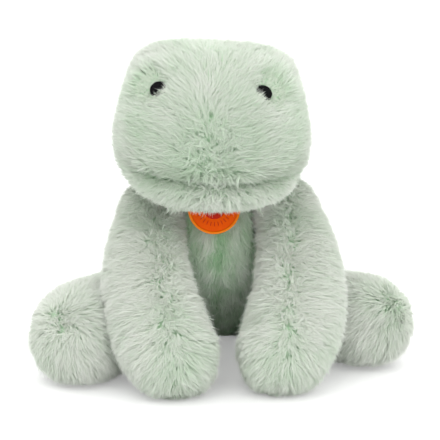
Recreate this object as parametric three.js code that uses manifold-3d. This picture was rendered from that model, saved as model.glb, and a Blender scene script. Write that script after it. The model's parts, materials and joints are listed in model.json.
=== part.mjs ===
// A seated plush frog: six long-pile skins over fibre filling, a weighted pouch in the seat,
// sewn eye patches with embroidered pupils, and a round medallion hung from the neck seam.
// Millimetres, +Z up. The frog faces -Y, its own left is +X, and the origin is the middle of its seat.
import * as THREE from "three";
import { mergeVertices } from "three/addons/utils/BufferGeometryUtils.js";
import Module from "manifold-3d";

const wasm = await Module();
wasm.setup();

// Fabric, seams and the surface that the frog sits on
const skinDepth = 7; // knitted backing with its combed pile
const seamGap = 0.35; // between two skins where one turns against the other
const fillGap = 0.4; // between a skin and the filling inside it
const restGap = 0.9; // more than a seam's, where an arm lies in the dent of a leg
const floorCut = 0.5; // how deep each resting form is pressed flat
const overrun = 30; // how far cutting tools run past what they cut
const worldSize = 900; // side of the block that stands for the floor
const weldDistance = 0.0001;

// Body
const bodyHeight = 148;
const bodyHalfWidth = 62;
const bodyFront = 56;
const bodyBack = 56;
const bodyLean = -38; // how far the neck end stands in front of the seat
const bodyAside = -6; // how far the neck end leans to the frog's right

// Neck: a ball on the body in a cup under the head
const neckRadius = 34;
const neckDrop = 18; // neck ball centre below the top of the body form
const foldOuter = 56; // the fold between chin and neck runs from the ball to this radius
const foldHeight = 18; // fold's top above the neck ball centre
const fillOpening = 15; // radius of the holes that join one filling to the next

// Head
const headHeight = 113;
const headHalfWidth = 70;
const headFront = 61;
const headBack = 60;
const headAhead = -30; // head middle in front of the neck ball
const headDrop = 8; // lowest point of the chin below the neck ball centre
const headRoll = 2; // degrees, towards the frog's left
const headTurn = -6; // degrees, towards the frog's right
const chinSag = 3; // how far the chin hangs below the rest of the head's underside
const muzzleHeight = 50; // fullest part of the muzzle above the chin
const muzzleLump = 4;
const muzzleRadius = 38;
const browAcross = 50; // the raised corner of the head over each eye
const browDrop = 9; // its middle below the top of the head
const browLump = 5.5;
const browRadius = 20;
const mouthHeight = 27; // mouth seam above the chin, at the middle
const mouthRise = 2.5; // how much higher the mouth is at its corners
const mouthHalfWidth = 50;
const mouthTuck = 7; // depth of the tucked seam
const mouthBand = 7; // half height of the tuck

// Eyes
const eyeAcross = 37; // eye from the middle of the face
const eyeDrop = 22; // eye below the top of the head
const patchRadius = 13;
const patchDepth = 2.2;
const pupilRadius = 5.6;
const pupilDepth = 1.3;
const pupilInward = 2.8; // pupil from the patch centre, towards the snout
const pupilDown = 3;

// Arms
const shoulderAcross = 46;
const shoulderForward = -46;
const shoulderHeight = 109.5;
const shoulderRadius = 27;
const shoulderRoot = 14; // how far the arm runs on past the middle of its ball, into the body
const armInward = 5; // degrees, towards the other arm
const armLength = 139; // shoulder ball centre to the tip of the paw
const pawLift = 4.6; // tip of the paw's form above the surface, before its underside is pressed flat
const armHalfWidth = 33;
const armHalfDepth = 32;
const armBow = 13; // how far the elbow stands out sideways
const armSwing = 25; // degrees that an arm lifts forwards

// Legs
const hipAcross = 49;
const hipAside = -5; // how far both hips lie to the frog's right
const hipForward = -10;
const hipHeight = 32;
const hipRadius = 30;
const hipRoot = 14;
const legLength = 120; // hip ball centre to the tip of the foot
const legHalfWidth = 34;
const legHalfHeight = 34.5;
const leftSplay = 44; // degrees forwards from straight sideways
const rightSplay = 57; // degrees forwards from straight sideways
const legSwing = 30; // degrees that a leg spreads outwards

// Head turning
const headSwing = 15; // degrees that the head turns to each side

// Weighted pouch in the seat
const pouchHalfWidth = 17;
const pouchHalfHeight = 11;
const pouchLift = 25; // pouch centre above the seat
const pouchBack = 15; // pouch centre behind the middle of the seat

// Medallion
const medalRadius = 18.5;
const medalDepth = 2.4;
const medalRim = 2.2;
const medalRimRise = 0.7;
const medalCentreRadius = 8;
const medalCentreDepth = 1.1;
const medalLean = 10; // degrees, as the chest leans
const lugRadius = 3.3;
const lugHole = 2.2;
const lugDepth = 1.4;
const lugGap = 0.9; // between the loop's cord and the lug that hangs from it
const lugRise = 0.5; // middle of the lug's hole above the edge of the disc
const loopRadius = 3.2;
const loopCord = 0.7;

// Counts and shares that set how fine the forms are
const bodyRings = 11;
const bodySides = 20;
const headRings = 15;
const headSides = 28;
const limbRings = 10;
const limbSides = 16;
const innerShare = 0.55; // rings and sides of an inner wall, to those of its skin
const ballSplitCount = 2; // cuts along each edge of the icosahedron that makes a ball
const innerSplitCount = 1;
const sweepSteps = 2; // places of a limb's swing at which its root is cut free of the body
const discSides = 32;
const smallSides = 12;
const cordSides = 6;

const mint = 0xc4dcc6;
const shortMint = 0xb4ccb6;
const fibreWhite = 0xf1efe8;
const black = 0x15151a;
const orange = 0xf96a12;
const redOrange = 0xd93a0c;
const ribbonGreen = 0xa9c6ad;
const linen = 0xd8d0c0;

const turn = THREE.MathUtils.degToRad;
const origin = new THREE.Vector3();
const upwards = new THREE.Vector3(0, 0, 1);

// Smooth value of a table of evenly spaced shares, at a place from 0 to 1.
function along(shares, place) {
  const steps = shares.map((_, i) => i / (shares.length - 1));
  return new THREE.CubicInterpolant(steps, shares, 1).evaluate(place)[0];
}

// A power that keeps the sign, for rounded-square sections.
function signedPower(value, power) {
  return Math.sign(value) * Math.abs(value) ** power;
}

// Half sizes and middle of a form's section at a place from 0 (low pole) to 1 (high pole).
function sectionAt(form, place) {
  const fullness = place < 0.5 ? form.lowFullness : form.highFullness;
  const rounding = Math.sin(Math.acos(1 - 2 * place)) ** fullness;
  return {
    half: form.halfWidth * along(form.widthShares, place) * rounding,
    front: form.front * along(form.frontShares, place) * rounding,
    back: form.back * along(form.backShares, place) * rounding,
    ahead: form.ahead * along(form.spineShares, place),
    aside: form.aside * along(form.spineShares, place),
    height: form.bottom + form.height * place,
  };
}

// The surface point of a form in front of its axis, at a distance across and a place up it.
function frontPoint(form, across, place) {
  const s = sectionAt(form, place);
  const share = Math.min(1, Math.abs(across / s.half));
  const depth = s.front * (1 - share ** form.squareness) ** (1 / form.squareness);
  return new THREE.Vector3(across + s.aside, s.ahead - depth, s.height);
}

// Direction straight out of a form at such a point.
function frontNormal(form, across, place) {
  const step = 0.02;
  const sideways = frontPoint(form, across + step * form.halfWidth, place);
  sideways.sub(frontPoint(form, across - step * form.halfWidth, place));
  const rising = frontPoint(form, across, place + step).sub(frontPoint(form, across, place - step));
  return sideways.cross(rising).normalize();
}

// Moves each vertex along its normal by what `distance` returns for its place.
function pushVertices(geometry, distance) {
  geometry.computeVertexNormals();
  const { position, normal } = geometry.attributes;
  const [point, out] = [new THREE.Vector3(), new THREE.Vector3()];
  for (let i = 0; i < position.count; i++) {
    point.fromBufferAttribute(position, i);
    out.fromBufferAttribute(normal, i);
    point.addScaledVector(out, distance(point));
    position.setXYZ(i, point.x, point.y, point.z);
  }
  return geometry;
}

// Places of a form's rings: close together at the poles, one round the flat that a form rests on,
// and five along a tucked seam.
function ringPlaces(form, countShare) {
  const count = Math.round(form.rings * countShare);
  const rings = [...Array(count - 1).keys()].map((i) => (1 - Math.cos((Math.PI * (i + 1)) / count)) / 2);
  if (form.restShare && countShare === 1) rings.unshift((form.restShare * floorCut) / form.height);
  if (!form.seamHeight || countShare < 1) return rings;
  const [seam, band] = [form.seamHeight / form.height, form.seamBand / form.height];
  const clear = rings.filter((place) => Math.abs(place - seam) > 1.4 * band);
  return [...clear, ...[-1, -0.5, 0, 0.5, 1].map((step) => seam + step * band)].sort((a, b) => a - b);
}

// A stuffed form: rounded-square rings up its axis, closed by a pole at each end.
function stuffedForm(form, { inset = 0, countShare = 1 } = {}) {
  const places = ringPlaces(form, countShare);
  const sides = Math.round(form.sides * countShare);
  const sections = [0, ...places, 1].map((place) => sectionAt(form, place));
  const [low, ...rings] = sections;
  const high = rings.pop();
  const positions = [low.aside, low.ahead, low.height];
  for (const s of rings) {
    for (let j = 0; j < sides; j++) {
      const angle = (2 * Math.PI * j) / sides;
      const sine = signedPower(Math.sin(angle), 2 / form.squareness);
      const x = s.half * signedPower(Math.cos(angle), 2 / form.squareness);
      positions.push(x + s.aside, (sine < 0 ? s.front : s.back) * sine + s.ahead, s.height);
    }
  }
  positions.push(high.aside, high.ahead, high.height);
  const top = 1 + rings.length * sides;
  const faces = [];
  for (let j = 0; j < sides; j++) {
    const next = (j + 1) % sides;
    faces.push(0, 1 + next, 1 + j);
    faces.push(top, top - sides + j, top - sides + next);
    for (let i = 0; i < rings.length - 1; i++) {
      const [a, b] = [1 + i * sides + j, 1 + i * sides + next];
      faces.push(a, b, b + sides, a, b + sides, a + sides);
    }
  }
  const geometry = new THREE.BufferGeometry();
  geometry.setAttribute("position", new THREE.Float32BufferAttribute(positions, 3));
  geometry.setIndex(faces);
  if (form.sculpt && countShare === 1) form.sculpt(geometry);
  if (inset !== 0) pushVertices(geometry, () => -inset);
  return geometry;
}

// A closed geometry as a solid that can be cut and joined.
function solid(geometry) {
  const bare = geometry.clone();
  bare.deleteAttribute("normal");
  bare.deleteAttribute("uv");
  const merged = mergeVertices(bare, weldDistance);
  const vertProperties = Float32Array.from(merged.attributes.position.array);
  const triVerts = Uint32Array.from(merged.index.array);
  return new wasm.Manifold(new wasm.Mesh({ numProp: 3, vertProperties, triVerts }));
}

// A cut solid back as a geometry.
function geometryOf(made) {
  const mesh = made.getMesh();
  const geometry = new THREE.BufferGeometry();
  geometry.setAttribute("position", new THREE.BufferAttribute(Float32Array.from(mesh.vertProperties), 3));
  geometry.setIndex(new THREE.BufferAttribute(Uint32Array.from(mesh.triVerts), 1));
  geometry.computeVertexNormals();
  return geometry;
}

// A ball, with its corners on the sphere.
function ball(radius, centre = origin, splitCount = ballSplitCount) {
  return solid(new THREE.IcosahedronGeometry(radius, splitCount).translate(centre.x, centre.y, centre.z));
}

// A cup for a ball: its flats lie on the sphere, so that the ball turns clear of them.
function cup(radius, centre = origin, splitCount = ballSplitCount) {
  const unit = new THREE.IcosahedronGeometry(1, splitCount);
  const face = new THREE.Triangle();
  let nearest = 1;
  for (let i = 0; i < unit.attributes.position.count; i += 3) {
    face.setFromAttributeAndIndices(unit.attributes.position, i, i + 1, i + 2);
    nearest = Math.min(nearest, face.closestPointToPoint(origin, new THREE.Vector3()).length());
  }
  return ball(radius / nearest, centre, splitCount);
}

// A disc or post along +Z, from one height to another.
function post(radius, low, high, sides = discSides) {
  const geometry = new THREE.CylinderGeometry(radius, radius, high - low, sides);
  return solid(geometry.rotateX(turn(90)).translate(0, 0, (low + high) / 2));
}

// A solid carried by a turned group.
function carried(made, group) {
  group.updateMatrix();
  return made.transform(group.matrix.toArray());
}

// Everything below the surface that the frog sits on, as a group sees it.
function floorBlock(group) {
  group.updateMatrix();
  const block = new THREE.BoxGeometry(worldSize, worldSize, worldSize).translate(0, 0, -worldSize / 2);
  return solid(block.applyMatrix4(group.matrix.clone().invert()));
}

function add(group, name, made, colour, roughness = 0.95) {
  const material = new THREE.MeshStandardMaterial({ color: colour, roughness, metalness: 0 });
  const mesh = new THREE.Mesh(geometryOf(made), material);
  mesh.name = name;
  group.add(mesh);
}

const frog = new THREE.Group();

// How far each arm reaches forwards from hanging, so that its paw comes down on the surface.
const armReach = Math.acos((shoulderHeight - pawLift) / armLength);

// Where the balls of the neck, shoulders and hips turn.
const neck = new THREE.Vector3(bodyAside, bodyLean, bodyHeight - neckDrop);
const shoulders = [1, -1].map((side) => new THREE.Vector3(side * shoulderAcross, shoulderForward, shoulderHeight));
const hips = [1, -1].map((side) => new THREE.Vector3(side * hipAcross + hipAside, hipForward, hipHeight));

const bodyForm = {
  bottom: -floorCut,
  height: bodyHeight,
  halfWidth: bodyHalfWidth,
  front: bodyFront,
  back: bodyBack,
  ahead: bodyLean,
  aside: bodyAside,
  spineShares: [0, 0.05, 0.3, 0.62, 0.86, 1],
  widthShares: [0.86, 0.98, 0.97, 0.86, 0.8, 0.8],
  frontShares: [0.3, 0.74, 0.93, 0.87, 0.74, 0.64],
  backShares: [0.9, 1, 0.98, 0.92, 0.9, 0.9],
  lowFullness: 0.42,
  highFullness: 0.6,
  restShare: 1.1,
  squareness: 2.1,
  rings: bodyRings,
  sides: bodySides,
};

// Body: its skin has a cup for each limb, and the neck ball on top.
function buildBody() {
  const cups = [
    ...shoulders.map((centre) => [shoulderRadius, centre]),
    ...hips.map((centre) => [hipRadius, centre]),
  ];
  const carve = (made, clearance, splitCount) =>
    cups.reduce((left, [radius, centre]) => left.subtract(cup(radius + clearance, centre, splitCount)), made);
  const opening = post(fillOpening, neck.z, neck.z + neckRadius + overrun).translate([neck.x, neck.y, 0]);
  const outer = solid(stuffedForm(bodyForm)).add(ball(neckRadius, neck));
  const core = (depth) => {
    const form = solid(stuffedForm(bodyForm, { inset: depth, countShare: innerShare }));
    return carve(form.add(ball(neckRadius - depth, neck, innerSplitCount)), seamGap + depth, innerSplitCount);
  };
  const skin = carve(outer, seamGap).subtract(core(skinDepth)).subtract(opening);
  add(frog, "body_skin", skin.subtract(floorBlock(frog)), mint);

  const pouch = (grown) => {
    const egg = new THREE.IcosahedronGeometry(1, innerSplitCount + 1);
    egg.scale(pouchHalfWidth + grown, pouchHalfWidth + grown, pouchHalfHeight + grown);
    return solid(egg.translate(hipAside, pouchBack, pouchLift));
  };
  add(frog, "body_filling", core(skinDepth + fillGap).subtract(pouch(fillGap)), fibreWhite);
  add(frog, "seat_pouch", pouch(0), linen);
}

const headForm = {
  bottom: -headDrop,
  height: headHeight,
  halfWidth: headHalfWidth,
  front: headFront,
  back: headBack,
  ahead: headAhead,
  aside: 0,
  spineShares: [1.25, 1.1, 1, 1, 1, 0.95],
  widthShares: [0.92, 1, 1.02, 0.97, 0.92, 0.86],
  frontShares: [0.72, 0.94, 1.02, 0.98, 0.86, 0.7],
  backShares: [0.5, 0.8, 0.98, 1.02, 0.95, 0.8],
  lowFullness: 0.55,
  highFullness: 0.36,
  squareness: 2.7,
  rings: headRings,
  sides: headSides,
  seamHeight: mouthHeight,
  seamBand: mouthBand,
  sculpt: sculptHead,
};

// Lifts the mouth's corners, tucks its seam in and raises the eye lumps.
function sculptHead(geometry) {
  const { position } = geometry.attributes;
  const seam = headForm.bottom + mouthHeight;
  const point = new THREE.Vector3();
  const facing = (p) => THREE.MathUtils.smoothstep(-p.y, -headAhead, headFront / 2 - headAhead);
  const ends = (p) => 1 - THREE.MathUtils.smoothstep(Math.abs(p.x) / mouthHalfWidth, 0.8, 1.2);
  const [brow, muzzle] = [1 - browDrop / headHeight, muzzleHeight / headHeight];
  const lumps = [
    [frontPoint(headForm, browAcross, brow), browLump, browRadius],
    [frontPoint(headForm, -browAcross, brow), browLump, browRadius],
    [frontPoint(headForm, 0, muzzle), muzzleLump, muzzleRadius],
  ];
  const tucks = [];
  for (let i = 0; i < position.count; i++) {
    point.fromBufferAttribute(position, i);
    const band = (point.z - seam) / mouthBand;
    tucks.push(mouthTuck * Math.exp(-((1.6 * band) ** 2)) * facing(point) * ends(point));
    const lift = Math.min(1, (point.x / mouthHalfWidth) ** 2) * mouthRise;
    const sag = chinSag * THREE.MathUtils.smoothstep(seam - point.z, -mouthBand, mouthHeight);
    position.setZ(i, point.z + facing(point) * (lift * Math.exp(-((band / 4) ** 2)) - sag));
  }
  let next = 0;
  pushVertices(geometry, (p) => {
    const raised = ([centre, height, radius]) => height * Math.exp(-((p.distanceTo(centre) / radius) ** 2));
    return lumps.reduce((sum, lump) => sum + raised(lump), -tucks[next++]);
  });
}

// A group on the face with +Z straight out of the pile, its face sunk into it.
function eyeGroup(side) {
  const place = 1 - eyeDrop / headHeight;
  const out = frontNormal(headForm, side * eyeAcross, place);
  const group = new THREE.Group();
  group.position.copy(frontPoint(headForm, side * eyeAcross, place));
  const sideways = new THREE.Vector3().crossVectors(upwards, out).normalize();
  const rising = new THREE.Vector3().crossVectors(out, sideways);
  group.quaternion.setFromRotationMatrix(new THREE.Matrix4().makeBasis(sideways, rising, out));
  return group;
}

// The fold between chin and neck, a ring about the neck's axis, as seen from the head.
function neckFold(grown) {
  const low = -headDrop - overrun;
  const rounding = (foldOuter - neckRadius) / 4;
  const inner = neckRadius / 2;
  const [outer, high] = [foldOuter + grown, foldHeight + grown];
  const outline = [
    [inner, low],
    [outer, low],
    [outer, high - rounding],
    [outer - rounding, high],
    [inner, high],
    [inner, low],
  ].map(([radius, height]) => new THREE.Vector2(radius, height));
  return solid(new THREE.LatheGeometry(outline, discSides).rotateX(turn(90)));
}

// An embroidered pupil: a low dome with a flat back.
function pupilDome() {
  const steps = 3;
  const outline = [new THREE.Vector2(), new THREE.Vector2(pupilRadius, 0)];
  for (let i = 1; i < steps; i++) {
    const angle = turn((90 * i) / steps);
    outline.push(new THREE.Vector2(pupilRadius * Math.cos(angle), pupilDepth * Math.sin(angle)));
  }
  outline.push(new THREE.Vector2(0, pupilDepth));
  return solid(new THREE.LatheGeometry(outline, 2 * smallSides).rotateX(turn(90)));
}

// The head's frame: its origin is the middle of the neck ball.
function headGroup() {
  const group = new THREE.Group();
  group.position.copy(neck);
  group.rotation.set(0, turn(headRoll), turn(headTurn), "ZYX");
  return group;
}

// Head: a cup for the neck ball under it, and a seat for each eye patch.
function buildHead() {
  const head = headGroup();
  frog.add(head);
  const core = (depth) => {
    const form = solid(stuffedForm(headForm, { inset: depth + mouthTuck / 2, countShare: innerShare }));
    return form.subtract(cup(neckRadius + seamGap + depth, origin, innerSplitCount)).subtract(neckFold(depth));
  };
  const opening = post(fillOpening, 0, neckRadius + overrun);
  const outer = solid(stuffedForm(headForm)).subtract(cup(neckRadius + seamGap)).subtract(neckFold(0));
  let skin = outer.subtract(core(skinDepth)).subtract(opening);
  for (const [side, name] of [[1, "left"], [-1, "right"]]) {
    const eye = eyeGroup(side);
    head.add(eye);
    skin = skin.subtract(carried(post(patchRadius + fillGap, -patchDepth - fillGap, overrun), eye));
    add(eye, "eye_patch_" + name, post(patchRadius, -patchDepth, 0), shortMint);
    const pupil = new THREE.Group();
    pupil.position.set(side * -pupilInward, -pupilDown, fillGap);
    eye.add(pupil);
    add(pupil, "eye_pupil_" + name, pupilDome(), black, 0.7);
  }
  add(head, "head_skin", skin, mint);
  add(head, "head_filling", core(skinDepth + fillGap), fibreWhite);
}

// A solid turned back about a line through a point, as a limb swinging about it sees the solid.
function turnedBack(made, centre, axis, angle) {
  const back = new THREE.Matrix4().makeRotationAxis(axis, -angle).setPosition(centre);
  back.multiply(new THREE.Matrix4().makeTranslation(centre.clone().negate()));
  return made.transform(back.toArray());
}

// The head without its neck cup, grown by a gap, where it stands and turned to both sides.
function turnedHeads(gap) {
  const head = solid(stuffedForm(headForm, { inset: -gap })).subtract(neckFold(-gap));
  const turns = [-headSwing, 0, headSwing].map(turn);
  return turns.map((angle) => turnedBack(carried(head, headGroup()), neck, upwards, angle));
}

// A limb hangs along -Z from the ball at its origin, and swings about a line through that ball.
// Its root is cut free of the body all along the swing, and `pressing` gives what dents it.
function buildLimb({ name, group, form, radius, axis, stops, pressing }) {
  frog.add(group);
  group.updateMatrix();
  const inside = new THREE.Matrix4().copy(group.matrix).invert().toArray();
  const cut = (made, cutters) => cutters.reduce((left, cutter) => left.subtract(cutter.transform(inside)), made);
  const whole = (depth, countShare, splitCount) => {
    const gap = depth + seamGap;
    const body = solid(stuffedForm(bodyForm, { inset: -gap, countShare }));
    const bodies = stops.map((angle) => turnedBack(body, group.position, axis, angle));
    const limb = cut(solid(stuffedForm(form, { inset: depth, countShare })), bodies);
    return cut(limb.add(ball(radius - depth, origin, splitCount)), pressing(gap));
  };
  const inner = (depth) => whole(depth, innerShare, innerSplitCount);
  const inward = new THREE.Vector3(-Math.sign(group.position.x), 0, 0);
  inward.applyQuaternion(group.quaternion.clone().invert());
  const bore = new THREE.CylinderGeometry(fillOpening, fillOpening, radius + overrun, smallSides);
  bore.translate(0, (radius + overrun) / 2, 0);
  bore.applyQuaternion(new THREE.Quaternion().setFromUnitVectors(new THREE.Vector3(0, 1, 0), inward));
  const skin = whole(0, 1, ballSplitCount).subtract(inner(skinDepth)).subtract(solid(bore));
  add(group, name + "_skin", skin.subtract(floorBlock(group)), mint);
  add(group, name + "_filling", inner(skinDepth + fillGap), fibreWhite);
}

const armWidthShares = [1.14, 1.2, 1.04, 0.93, 0.92, 0.92];
const armDepthShares = [1.08, 1.12, 1.02, 0.95, 0.92, 0.92];
const armForm = (side) => ({
  bottom: -armLength,
  height: armLength + shoulderRoot,
  halfWidth: armHalfWidth,
  front: armHalfDepth,
  back: armHalfDepth,
  ahead: 0,
  aside: side * armBow,
  spineShares: [0, 0.3, 0.85, 1, 0.6, 0],
  widthShares: armWidthShares,
  frontShares: armDepthShares,
  backShares: armDepthShares,
  lowFullness: 0.6,
  highFullness: 0.4,
  squareness: 2.2,
  rings: limbRings,
  sides: limbSides,
});

const legWidthShares = [1.08, 1.13, 1.02, 0.94, 0.94, 0.94];
const legForm = {
  bottom: -legLength,
  height: legLength + hipRoot,
  halfWidth: legHalfHeight,
  front: legHalfWidth,
  back: legHalfWidth,
  ahead: 0,
  aside: 0,
  spineShares: [0, 0],
  widthShares: legWidthShares,
  frontShares: legWidthShares,
  backShares: legWidthShares,
  lowFullness: 0.6,
  highFullness: 0.4,
  squareness: 2.2,
  rings: limbRings,
  sides: limbSides,
};

// Angles along a swing at which a limb is cut free.
function stopsOf(swing) {
  return [...Array(sweepSteps + 1).keys()].map((i) => turn((swing * i) / sweepSteps));
}

// Arms and legs: the turning head trims the shoulders, and each arm dents the leg that it rests on.
function buildLimbs() {
  for (const [i, name] of ["left", "right"].entries()) {
    const side = Math.sign(shoulders[i].x);
    const arm = new THREE.Group();
    arm.position.copy(shoulders[i]);
    arm.rotation.set(-armReach, turn(side * armInward), 0);
    const [axis, stops] = [new THREE.Vector3(-1, 0, 0), stopsOf(armSwing)];
    const underHead = (gap) =>
      turnedHeads(gap).flatMap((head) => stops.map((angle) => turnedBack(head, arm.position, axis, angle)));
    const armParts = { name: "arm_" + name, group: arm, form: armForm(side), radius: shoulderRadius };
    buildLimb({ ...armParts, axis, stops, pressing: underHead });

    const leg = new THREE.Group();
    leg.position.copy(hips[i]);
    leg.rotation.set(0, turn(side * -90), turn(side * -[leftSplay, rightSplay][i]), "ZYX");
    const underArm = (gap) => {
      const pressingArm = carried(solid(stuffedForm(armForm(side), { inset: -gap - restGap })), arm);
      return stops.map((angle) => turnedBack(pressingArm, arm.position, axis, -angle));
    };
    const legParts = { name: "leg_" + name, group: leg, form: legForm, radius: hipRadius };
    buildLimb({ ...legParts, axis: new THREE.Vector3(0, 0, side), stops: stopsOf(legSwing), pressing: underArm });
  }
}

// Medallion: a rimmed disc with a raised centre, hung by a lug from a cord loop in the neck seam.
function buildMedallion() {
  const hang = new THREE.Group();
  const loopMiddle = foldHeight - seamGap - loopCord - loopRadius;
  const loopAhead = Math.sqrt(neckRadius ** 2 - loopMiddle ** 2) + fillGap + loopCord + loopRadius;
  const ring = new THREE.TorusGeometry(loopRadius, loopCord, cordSides, smallSides).rotateY(turn(90));
  ring.translate(neck.x, neck.y - loopAhead, neck.z + loopMiddle);
  add(frog, "medallion_loop", solid(ring), ribbonGreen);
  hang.position.set(neck.x, neck.y - loopAhead, neck.z + loopMiddle - loopRadius);
  hang.rotation.x = turn(-medalLean);
  frog.add(hang);
  const lugDrop = lugHole - loopCord - lugGap;
  const discDrop = lugDrop + lugRise + medalRadius;
  const face = medalDepth / 2;
  const flat = (made, drop) => made.rotate([90, 0, 0]).translate([0, 0, -drop]);
  const seatDepth = face - medalCentreDepth / 2;
  const rim = post(medalRadius, 0, face + medalRimRise).subtract(post(medalRadius - medalRim, face, overrun));
  const seat = post(medalCentreRadius + fillGap, seatDepth - fillGap, overrun);
  const disc = post(medalRadius, -face, face).add(rim).subtract(seat);
  const lug = post(lugRadius, -lugDepth / 2, lugDepth / 2, smallSides);
  const hole = post(lugHole, -medalDepth, medalDepth, smallSides);
  const whole = flat(disc, discDrop).add(flat(lug, lugDrop)).subtract(flat(hole, lugDrop));
  add(hang, "medallion_disc", whole, orange, 0.45);
  const centre = post(medalCentreRadius, seatDepth, seatDepth + medalCentreDepth);
  add(hang, "medallion_centre", flat(centre, discDrop), redOrange, 0.45);
}

buildBody();
buildHead();
buildLimbs();
buildMedallion();

export default frog;
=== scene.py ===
# A seated plush frog: stuffed cloth forms under combed long pile, embroidered eyes and a moulded medallion.
# Metres, +Z up. The frog faces -Y and its own left is +X.
import json
import math

import bmesh
import bpy
import numpy as np
from mathutils import Matrix, Vector, noise
from mathutils.bvhtree import BVHTree


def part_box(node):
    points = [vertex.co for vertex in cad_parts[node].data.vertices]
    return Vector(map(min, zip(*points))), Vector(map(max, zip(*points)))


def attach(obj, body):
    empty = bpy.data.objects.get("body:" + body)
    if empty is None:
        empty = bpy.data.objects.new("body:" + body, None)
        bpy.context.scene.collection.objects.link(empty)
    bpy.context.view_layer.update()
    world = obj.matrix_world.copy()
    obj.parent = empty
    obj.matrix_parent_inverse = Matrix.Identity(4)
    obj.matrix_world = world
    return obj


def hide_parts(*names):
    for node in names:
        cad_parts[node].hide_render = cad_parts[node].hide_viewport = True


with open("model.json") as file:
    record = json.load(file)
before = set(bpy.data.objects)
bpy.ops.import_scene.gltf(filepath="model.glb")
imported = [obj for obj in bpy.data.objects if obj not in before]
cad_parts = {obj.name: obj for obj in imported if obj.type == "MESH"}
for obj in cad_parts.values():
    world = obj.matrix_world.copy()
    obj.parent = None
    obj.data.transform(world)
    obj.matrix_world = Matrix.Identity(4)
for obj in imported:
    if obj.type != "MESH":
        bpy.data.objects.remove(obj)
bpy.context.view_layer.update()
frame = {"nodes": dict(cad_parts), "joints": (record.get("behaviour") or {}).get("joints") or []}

mm = 0.001
up = np.array([0.0, 0.0, 1.0])
forwards = np.array([0.0, -1.0, 0.0])
random = np.random.default_rng(7)
noise.seed_set(2)  # otherwise its patterns start from the clock

# A pair named a band, ring or lip is the middle and the width of a smooth rise. A pair named an edge is where
# a change starts and where it is full.

# Cloth forms
cloth_inset = 4 * mm  # knitted backing below the combed surface of the pile
cloth_insets = {"leg_left": 6 * mm, "leg_right": 2.8 * mm}
cloth_thickness = 1.1 * mm
cloth_voxel = 3.5 * mm
smoothing = 0.5  # share of the way that a point moves in each pass
belly_tuck = 6 * mm  # of the belly's lowest part
belly_tuck_height = 18 * mm
belly_front_edge = 0.1, 0.7
filling_slack = 0.8 * mm
filling_lump = 0.7 * mm
filling_lump_size = 8 * mm
weld = 0.01 * mm  # points nearer than this are merged

# Head and face
corner_drop = 3.6 * mm  # of the head's top towards its sides
corner_reach = 50 * mm  # from the middle to where that drop is full
side_insets = 3.4 * mm, 1.4 * mm  # the head's sides, on the frog's right and left
mouth_share = 0.25  # height of the mouth in the head's box
mouth_half_width = 50 * mm
mouth_end_edge = 0.85, 1.2  # in half widths
face_edge = 0.3, 0.5  # in shares of the head's depth
mouth_rise = 5 * mm  # how much higher its corners are
mouth_slope = math.tan(math.radians(2))  # the head's tilt towards the frog's left
mouth_depth = 6 * mm
mouth_crease_width = 3.2 * mm
lip_swell = 1.3 * mm  # how far the lips stand out above and below the mouth
upper_lip = 9 * mm, 6 * mm
lower_lip = -11 * mm, 8 * mm
near_eye_edge = 14 * mm, 26 * mm  # before or behind the plane of its patch
brow_side = 0.5, 0.87  # the brow lies this way from an eye, outwards and upwards
brow_swell = 2.2 * mm
brow_ring = 15 * mm, 5 * mm
brow_edge = -2 * mm, 6 * mm
snout_swell = 3.2 * mm
snout_place = -14 * mm, -9 * mm  # from an eye, outwards and upwards
snout_width = 12 * mm
socket_depth = 1.5 * mm
socket_width = 9 * mm
crease_depth = 1.8 * mm  # of the fold under the outer side of each eye
crease_band = -8 * mm, 2.6 * mm
crease_edge = -3 * mm, 5 * mm

# Eyes
snout_side = -0.75, -0.66  # the snout's pile comes over a pupil from this side, outwards and upwards
pupil_drop = 0.6 * mm  # the stitches sink into the patch's pile by this
pupil_radius = 5.7 * mm
pupil_depth = 1.3 * mm
pupil_showing = {"left": 5.6 * mm, "right": 6.3 * mm}  # roots of the snout's pile beyond each pupil's middle
lid_place = {"left": 2.2 * mm, "right": 2.0 * mm}  # pile covers each pupil from this far beyond its middle
lid_reach = 8 * mm
pupil_clearing = 5 * mm  # elsewhere the patch's pile stands back this far from it
eye_clearing = 10.2 * mm  # long pile stands back this far from the middle of an eye patch
patch_drop = 0.4 * mm  # top of the patch's cloth below the middle of the CAD patch
patch_radius = 13 * mm
patch_crown = 2.2 * mm  # so that its edge sinks into the long pile
patch_thickness = 0.8 * mm
patch_spacing = 1.25 * mm
patch_pile = {"rise": 1.3 * mm, "run": 2.6 * mm, "width": 0.36 * mm, "radius": 0.75 * mm}
patch_ruffle, patch_ruffle_size = 0.5, 5 * mm
patch_height, patch_swell, patch_swell_size, lid_height = 0.9, 0.2, 2 * mm, 1.1
patch_tone, patch_mottle, patch_mottle_size, lid_tone = 0.5, 0.3, 3 * mm, 0.3
lid_side = 0.66, -0.75  # the lid's pile lies this way, outwards and upwards
thread_width = 0.75 * mm
thread_steps = 9
thread_sway = 0.15 * mm
thread_sink = 0.1 * mm
stitch_turn = {"left": math.radians(35), "right": math.radians(-35)}

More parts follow.
